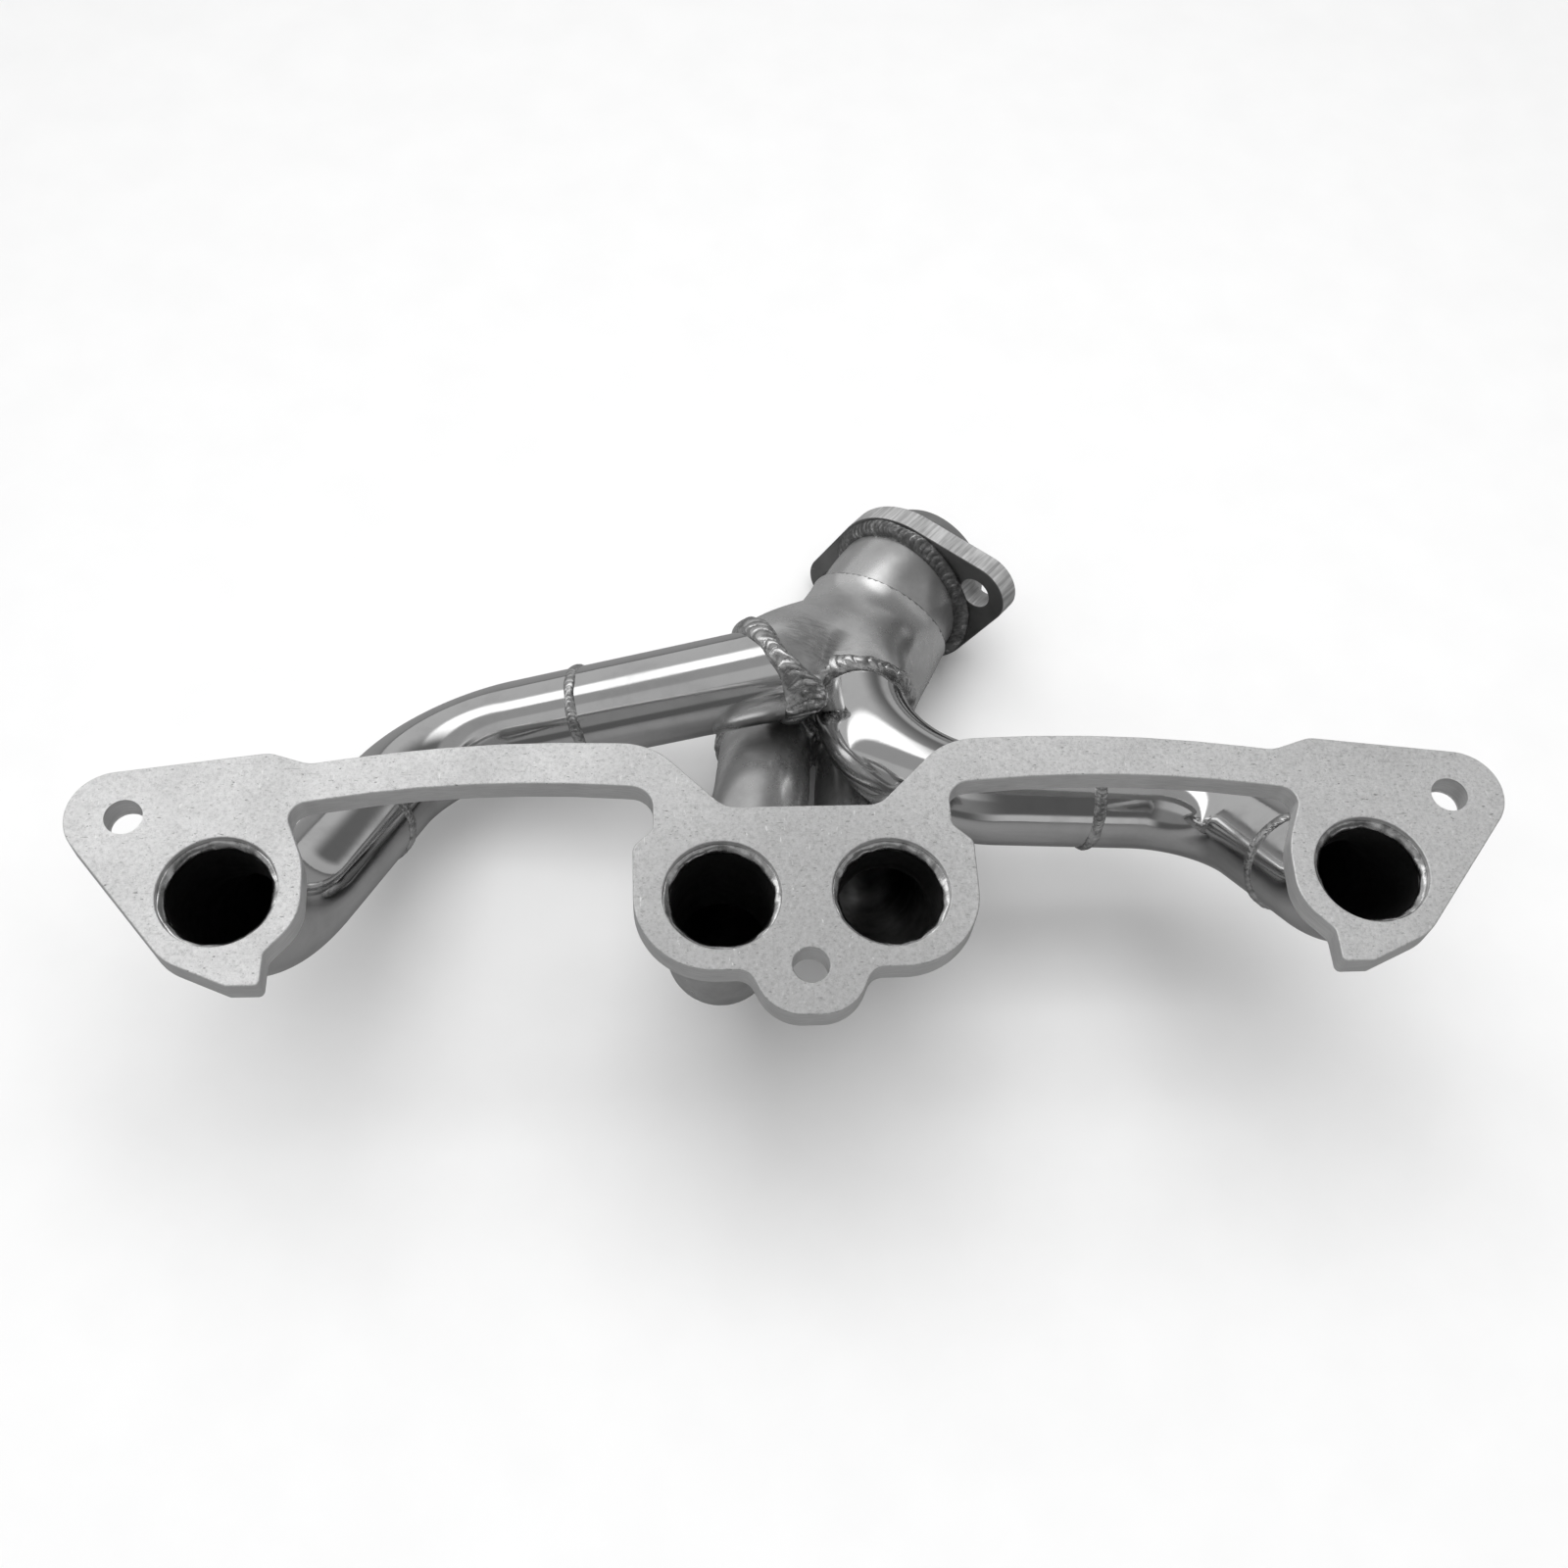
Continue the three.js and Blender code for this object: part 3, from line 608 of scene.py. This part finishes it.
def lobe_line(name, steps=36, beyond=8.0):
    """A lobe's centreline and radii, from a tube's mouth to past the round outlet."""
    start, _, away = INLETS[name]
    finish, last = np.array(MERGE), np.array(MERGE_AXIS)
    pull = LOBE_PULL * np.linalg.norm(finish - start)
    handles = [start, start + away * pull, finish - last * pull, finish]
    t = np.linspace(0, 1, steps)[:, None]
    curve = sum(c * k * t ** i * (1 - t) ** (3 - i)
                for i, (c, k) in enumerate(zip(handles, (1, 3, 3, 1))))
    grow = np.clip((t[:, 0] - LOBE_KEEP) / (1 - LOBE_KEEP), 0, 1)
    radii = LOBE_R + (SLEEVE_R - LOBE_R) * grow ** 2 * (3 - 2 * grow)
    curve = np.vstack([start - away * beyond, curve, finish + last * beyond])
    return curve, np.concatenate([[LOBE_R], radii, [SLEEVE_R]])


LOBES = {name: lobe_line(name) for name in ROUTES}


def collector_field(points, blend=7.0):
    """Signed distance to the four lobes, melted together where they meet."""
    before_end = (np.array(MERGE) - points) @ np.array(MERGE_AXIS)
    k = blend * np.clip((before_end - 4.0) / 34.0, 0.02, 1.0)
    total = None
    for name, (line, radii) in LOBES.items():
        lip, mouth, _ = INLETS[name]
        lobe = np.maximum(swept_distance(points, line, radii), (lip - points) @ mouth)
        if total is None:
            total = lobe
            continue
        near = np.clip(k - np.abs(total - lobe), 0, None) / k
        total = np.minimum(total, lobe) - near ** 2 * k / 4
    return total


def onto_collector(points, steps=3, small=0.05):
    """Moves points near the collector onto its surface."""
    for _ in range(steps):
        here = collector_field(points)
        slope = np.stack([collector_field(points + small * e) - here for e in np.eye(3)], -1)
        slope = slope / small
        points = points - slope * (here / np.maximum((slope ** 2).sum(-1), 0.2))[:, None]
    return points


def surface_nets(values, origin, cell):
    """A quad mesh of the zero surface of values on a regular grid."""
    inside = values < 0
    shape = np.array(values.shape)
    corners = np.array([(i, j, k) for i in (0, 1) for j in (0, 1) for k in (0, 1)])
    count = sum(inside[i:shape[0] - 1 + i, j:shape[1] - 1 + j, k:shape[2] - 1 + k].astype(int)
                for i, j, k in corners)
    mixed = np.argwhere((count > 0) & (count < 8))
    number = np.full(shape - 1, -1)
    number[tuple(mixed.T)] = np.arange(len(mixed))
    total, hits = np.zeros((len(mixed), 3)), np.zeros(len(mixed))
    for a in corners:
        for axis in np.flatnonzero(a == 0):
            b = a.copy()
            b[axis] = 1
            va, vb = values[tuple((mixed + a).T)], values[tuple((mixed + b).T)]
            cross = (va < 0) != (vb < 0)
            t = np.where(cross, va / np.where(cross, va - vb, 1.0), 0.0)
            total += cross[:, None] * (a + t[:, None] * (b - a))
            hits += cross
    points = origin + cell * (mixed + total / hits[:, None])
    faces = []
    for axis in range(3):
        u, w = [(1, 2), (2, 0), (0, 1)][axis]
        low = [slice(1, -1)] * 3
        low[axis] = slice(0, -1)
        high = list(low)
        high[axis] = slice(1, None)
        a, b = inside[tuple(low)], inside[tuple(high)]
        spots = np.argwhere(a != b)
        leaving = a[tuple(spots.T)]
        spots = spots + np.array([0 if i == axis else 1 for i in range(3)])
        eu, ew = np.eye(3, dtype=int)[u], np.eye(3, dtype=int)[w]
        quad = np.stack([number[tuple((spots - du * eu - dw * ew).T)]
                         for du, dw in ((1, 1), (0, 1), (0, 0), (1, 0))], -1)
        faces.append(np.where(leaving[:, None], quad, quad[:, ::-1]))
    return points, np.concatenate(faces)


def collector_piece(materials):
    """The collector: a skin of sheet thickness over four merging lobes."""
    every = np.concatenate([line for line, _ in LOBES.values()])
    low, high = every.min(0) - SLEEVE_R - 3 * CELL, every.max(0) + SLEEVE_R + 3 * CELL
    axes = [np.arange(a, b, CELL) for a, b in zip(low, high)]
    grid = np.stack(np.meshgrid(*axes, indexing="ij"), -1)
    values = collector_field(grid.reshape(-1, 3)).reshape(grid.shape[:3])
    points, faces = surface_nets(values, low, CELL)
    points = onto_collector(points)
    cap = np.zeros(len(points), bool)
    for lip, mouth, _ in INLETS.values():
        off = points - lip
        cap |= (np.abs(off @ mouth) < 0.6) & (np.linalg.norm(off, axis=1) < LOBE_R * 1.35)
    kept = faces[~cap[faces].all(axis=1)]
    piece = new_piece("collector_shell", points, kept, materials)
    mesh = bmesh.new()
    mesh.from_mesh(piece.data)
    bmesh.ops.bisect_plane(mesh, geom=mesh.verts[:] + mesh.edges[:] + mesh.faces[:],
                           plane_co=MERGE * MM, plane_no=MERGE_AXIS, clear_outer=True)
    loose = [v for v in mesh.verts if not v.link_faces]
    bmesh.ops.delete(mesh, geom=loose, context="VERTS")
    mesh.to_mesh(piece.data)
    mesh.free()
    sheet = piece.modifiers.new("sheet", "SOLIDIFY")
    sheet.thickness = SHEET * MM
    sheet.offset = -1.0
    return piece


# ---- plates ----

def rounded_outline(corners):
    """The points of a polygon whose corners (x, y, radius) are rounded with fine arcs."""
    outline = []
    count = len(corners)
    for i, (x, y, radius) in enumerate(corners):
        here = Vector((x, y))
        back = (Vector(corners[i - 1][:2]) - here).normalized()
        ahead = (Vector(corners[(i + 1) % count][:2]) - here).normalized()
        half = back.angle(ahead) / 2
        start = here + back * radius / math.tan(half)
        centre = here + (back + ahead).normalized() * radius / math.sin(half)
        turn = math.pi - 2 * half
        steps = max(3, math.ceil(turn / math.radians(2.5)))
        sign = -1 if back.cross(ahead) > 0 else 1
        first = math.atan2(start.y - centre.y, start.x - centre.x)
        for k in range(steps + 1):
            a = first + sign * turn * k / steps
            outline.append((centre.x + radius * math.cos(a), centre.y + radius * math.sin(a)))
    return outline


def hole(x, y, radius, sides=96):
    return [(x + radius * c, y + radius * s) for c, s in circle(sides)]


def plate_piece(name, loops, thickness, edge, materials):
    """A flat plate from z = 0 up, with rounded edges; its rim has the second material."""
    curve = bpy.data.curves.new(name, "CURVE")
    curve.dimensions = "2D"
    curve.fill_mode = "BOTH"
    curve.extrude = (thickness / 2 - edge) * MM
    curve.bevel_depth = edge * MM
    curve.bevel_resolution = 3
    curve.offset = -edge * MM
    for loop in loops:
        spline = curve.splines.new("POLY")
        spline.points.add(len(loop) - 1)
        spline.use_cyclic_u = True
        for point, (x, y) in zip(spline.points, loop):
            point.co = (x * MM, y * MM, 0.0, 1.0)
    drawn = bpy.data.objects.new(name + "_drawn", curve)
    bpy.context.scene.collection.objects.link(drawn)
    bpy.context.view_layer.update()
    shape = drawn.evaluated_get(bpy.context.evaluated_depsgraph_get())
    mesh = bpy.data.meshes.new_from_object(shape)
    bpy.data.objects.remove(drawn)
    mesh.materials.clear()
    for material in materials:
        mesh.materials.append(material)
    work = bmesh.new()
    work.from_mesh(mesh)
    bmesh.ops.remove_doubles(work, verts=work.verts, dist=1e-6)
    bmesh.ops.translate(work, verts=work.verts, vec=(0, 0, thickness / 2 * MM))
    bmesh.ops.recalc_face_normals(work, faces=work.faces)
    for face in work.faces:
        face.smooth = True
        face.material_index = 0 if abs(face.normal.z) > 0.5 else 1
    work.to_mesh(mesh)
    work.free()
    piece = bpy.data.objects.new(name, mesh)
    bpy.context.scene.collection.objects.link(piece)
    weighted = piece.modifiers.new("even_faces", "WEIGHTED_NORMAL")
    weighted.weight = 100
    return piece


def port_flange_piece(materials):
    left = [(-x, y, r) for x, y, r in reversed(HALF_OUTLINE)]
    loops = [rounded_outline(HALF_OUTLINE + left)]
    for side in (-1, 1):
        loops.append(hole(side * OUTER_PORT_X, OUTER_PORT_Y, PORT_R))
        loops.append(hole(side * INNER_PORT_X, 0, PORT_R))
        loops.append(hole(side * END_BOLT[0], END_BOLT[1], END_BOLT[2], 48))
    loops.append(hole(*MID_BOLT, 48))
    piece = plate_piece("port_flange_plate", loops, PLATE, PLATE_EDGE, materials)
    piece.location.z = -PLATE * MM
    return piece


def lozenge_outline():
    """Two small end arcs and two large middle arcs, joined by tangents."""
    lean = math.pi / 2 - math.asin((LOZENGE_MID_R - LOZENGE_END_R) / LOZENGE_BOLT)
    outline = []
    arcs = [(LOZENGE_BOLT, LOZENGE_END_R, -lean, lean), (0, LOZENGE_MID_R, lean, math.pi - lean),
            (-LOZENGE_BOLT, LOZENGE_END_R, math.pi - lean, math.pi + lean),
            (0, LOZENGE_MID_R, math.pi + lean, 2 * math.pi - lean)]
    for x, radius, first, last in arcs:
        for a in np.linspace(first, last, 40):
            outline.append((x + radius * math.cos(a), radius * math.sin(a)))
    return outline


def outlet_frame():
    """The outlet flange's own axes: X through its bolt holes and Z out along the pipe."""
    long = (OUTLET_LONG - OUTLET_AXIS * OUTLET_LONG.dot(OUTLET_AXIS)).normalized()
    turn = Matrix((long, OUTLET_AXIS.cross(long), OUTLET_AXIS)).transposed().to_4x4()
    return Matrix.Translation(OUTLET * MM) @ turn


def outlet_flange_piece(materials):
    loops = [lozenge_outline(), hole(0, 0, PIPE_R + 0.1)]
    loops += [hole(side * LOZENGE_BOLT, 0, LOZENGE_BOLT_R, 48) for side in (-1, 1)]
    piece = plate_piece("outlet_flange_plate", loops, PLATE, 0.5, materials)
    piece.data.transform(outlet_frame())
    return piece


def seat_piece(materials):
    """The ball-shaped seat on the flange's far side."""
    base = PLATE
    top = SEAT_CENTRE + math.sqrt(SEAT_R ** 2 - SEAT_LIP_R ** 2)
    profile = [(math.sqrt(SEAT_R ** 2 - (z - SEAT_CENTRE) ** 2), z)
               for z in np.linspace(base, top - 0.4, 28)]
    lip = 0.9
    for a in np.linspace(0.35, math.pi, 12):
        middle = (SEAT_BORE_R + lip, top - lip)
        profile.append((middle[0] + lip * math.cos(a), middle[1] + lip * math.sin(a)))
    profile += [(SEAT_BORE_R, z) for z in np.linspace(top - lip - 1, base, 6)]
    spokes = circle(160)
    loops = np.array([[(r * c, r * s, z) for c, s in spokes] for r, z in profile])
    faces = grid_faces(len(loops), len(spokes), close_rows=True)
    piece = new_piece("outlet_seat_ring", loops.reshape(-1, 3), faces, materials, 50.0)
    piece.data.transform(outlet_frame())
    return piece


def pipe_piece(materials):
    start = MERGE - MERGE_AXIS * PIPE_TUCK
    knee = MERGE + MERGE_AXIS * (OUTLET - MERGE).length / 2
    end = OUTLET + OUTLET_AXIS * PLATE
    points, headings, _ = stations_of([start, knee, end], [PIPE_BEND_R], 3.0)
    return tube_piece("outlet_pipe_wall", points, headings, PIPE_R, PIPE_WALL, materials)


# ---- stage ----

def add_floor(height):
    size = 6.0
    mesh = bpy.data.meshes.new("floor")
    mesh.from_pydata([(-size, -size, 0), (size, -size, 0), (size, size, 0), (-size, size, 0)],
                     [], [(0, 1, 2, 3)])
    floor = bpy.data.objects.new("floor", mesh)
    bpy.context.scene.collection.objects.link(floor)
    floor.location.z = height
    material = bpy.data.materials.new("pale_floor")
    material.use_nodes = True
    g = Graph(material.node_tree)
    paper = g.noise(g.add("TexCoord").outputs["Object"], 30, 3.0)
    # Painted shade: the floor is pale only to camera rays; reflections and bounced light see it dark
    # grey, which darkens the header's undersides and the floor seen in its tubes.
    seen = g.add("LightPath").outputs["Is Camera Ray"]
    painted_reflection_shade = g.ramp(paper, [(0.3, 0.26), (0.7, 0.28)])
    colour = g.mix(seen, painted_reflection_shade, g.ramp(paper, [(0.3, 0.86), (0.7, 0.88)]))
    shader = g.add("BsdfPrincipled", {"Base Color": colour, "Roughness": 0.9,
                                      "Specular IOR Level": 0.0})
    out = g.add("OutputMaterial")
    g.tree.links.new(shader.outputs[0], out.inputs["Surface"])
    mesh.materials.append(material)


# Brightness round the room at the header's left and right, as (share of a turn, brightness)
# pairs: 0.25 is level and nearest the camera, 0.5 is overhead and 0.75 is level beyond.
LEFT_PANELS = [
    (0.20, 0.30), (0.25, 0.11), (0.285, 0.11), (0.295, 0.25), (0.37, 0.25), (0.385, 0.50),
    (0.46, 0.50), (0.47, 0.36), (0.545, 0.36), (0.555, 1.60), (0.615, 1.60), (0.63, 0.52),
    (0.80, 0.55),
]
RIGHT_PANELS = [
    (0.20, 0.55), (0.285, 0.55), (0.30, 0.11), (0.434, 0.11), (0.440, 0.65), (0.447, 0.65),
    (0.453, 0.38), (0.54, 0.36), (0.56, 0.16), (0.70, 0.14), (0.72, 0.45), (0.80, 0.45),
]


def add_world():
    """A studio room: panels and gaps parallel to the port flange, plain where seen directly."""
    world = bpy.data.worlds.new("studio")
    bpy.context.scene.world = world
    world.use_nodes = True
    g = Graph(world.node_tree)
    way = g.add("SeparateXYZ", {"Vector": g.add("TexCoord").outputs["Generated"]})
    roll = g.maths("ARCTAN2", way.outputs["Y"], way.outputs["Z"])
    share = g.maths("MULTIPLY_ADD", roll, 0.5 / math.pi)
    share.node.inputs[2].default_value = 0.5
    across = g.add("MapRange", {"Value": way.outputs["X"], "From Min": -0.1, "From Max": 0.4},
                   interpolation_type="SMOOTHSTEP").outputs["Result"]
    panels = g.mix(across, g.ramp(share, LEFT_PANELS), g.ramp(share, RIGHT_PANELS))
    seen = g.add("LightPath").outputs["Is Camera Ray"]
    back = g.add("Background", {"Color": g.mix(seen, panels, 0.80), "Strength": 1.0})
    out = g.add("OutputWorld")
    g.tree.links.new(back.outputs[0], out.inputs["Surface"])


def add_light(name, place, target, size, power):
    light = bpy.data.lights.new(name, "AREA")
    light.shape = "RECTANGLE"
    light.size, light.size_y = size
    light.energy = power
    lamp = bpy.data.objects.new(name, light)
    bpy.context.scene.collection.objects.link(lamp)
    lamp.location = place
    lamp.rotation_euler = (Vector(target) - Vector(place)).to_track_quat("-Z", "Y").to_euler()
    lamp.visible_glossy = False


def add_camera():
    camera = bpy.data.objects.new("camera", bpy.data.cameras.new("camera"))
    bpy.context.scene.collection.objects.link(camera)
    camera.data.lens = CAMERA_LENS
    camera.data.sensor_width = 36.0
    camera.data.clip_start = 0.01
    back = -CAMERA_LOOK
    right = CAMERA_UP.cross(back).normalized()
    turn = Matrix((right, back.cross(right), back)).transposed().to_4x4()
    camera.matrix_world = Matrix.Translation(CAMERA_AT) @ turn
    bpy.context.scene.camera = camera


# ---- assembly ----

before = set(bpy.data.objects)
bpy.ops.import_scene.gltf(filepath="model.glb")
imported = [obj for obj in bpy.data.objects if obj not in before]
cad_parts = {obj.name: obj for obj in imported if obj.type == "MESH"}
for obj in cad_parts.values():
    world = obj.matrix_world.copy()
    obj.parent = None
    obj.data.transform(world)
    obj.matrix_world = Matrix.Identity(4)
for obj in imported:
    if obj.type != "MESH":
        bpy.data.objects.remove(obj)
cad_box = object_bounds()
add_camera()

plate = metal("blasted_plate", blasted_look, 0.75)
plate_edge = metal("plate_edge", edge_look, 0.5)
polished = metal("polished_tube", polished_look)
formed = metal("formed_collector", formed_look, 0.92)
bore = metal("tube_bore", bore_look)
cut_edge = metal("cut_edge", cut_edge_look, 0.35)
scaled = metal("scaled_face", scaled_look)
turned = metal("turned_seat", turned_look)
satin = metal("satin_tube", satin_look, 0.9)
bright_bead = metal("weld_bead", bead_look)
dark_bead = metal("dark_weld_bead", dark_bead_look)

finish_piece(port_flange_piece([plate, plate_edge]), "blasted_plate", "port_flange")

for number, x, y in ((1, -OUTER_PORT_X, OUTER_PORT_Y), (2, -INNER_PORT_X, 0), (3, INNER_PORT_X, 0),
                     (4, OUTER_PORT_X, OUTER_PORT_Y)):
    piece = port_weld(f"port_weld_{number}_bead", x, y, [bright_bead], 20 + number)
    finish_piece(piece, "weld_bead", f"port_weld_{number}")

for tube in ROUTES:
    welds = BUTT_WELDS.get(tube, [])
    cuts = [0, *welds, LINES[tube][2][-1]]
    for i in range(len(cuts) - 1):
        node = tube + (SECTION_NAMES[i] if welds else "")
        points, headings = cut_out(LINES[tube], cuts[i], cuts[i + 1])
        slant = INLETS[tube][1] if i == len(cuts) - 2 else None
        skin = polished if welds else satin
        piece = tube_piece(node + "_wall", points, headings, TUBE_R, TUBE_WALL, [skin, bore], slant)
        finish_piece(piece, "polished_tube", node)
    for i, s in enumerate(welds, 1):
        piece = butt_weld(f"{tube}_weld_{i}_bead", tube, s, [bright_bead], 40 + 10 * i + len(cuts))
        finish_piece(piece, "weld_bead", f"{tube}_weld_{i}")
    digit = tube[-1]
    piece = inlet_weld(f"collector_weld_{digit}_bead", tube, [bright_bead], 70 + int(digit))
    finish_piece(piece, "weld_bead", f"collector_weld_{digit}")

finish_piece(collector_piece([formed]), "formed_collector", "collector")
finish_piece(pipe_piece([satin, bore]), "polished_tube", "outlet_pipe")
finish_piece(outlet_flange_piece([scaled, cut_edge]), "machined_flange", "outlet_flange")
finish_piece(seat_piece([turned]), "machined_flange", "outlet_seat")
finish_piece(outlet_weld("outlet_weld_bead", [dark_bead], 91), "weld_bead", "outlet_weld")

add_floor(cad_box[0].z)
add_world()
add_light("overhead", (0.0, 0.1, 1.6), (0, 0.1, 0), (1.6, 1.6), 27.0)
bpy.context.scene.view_settings.view_transform = "Standard"
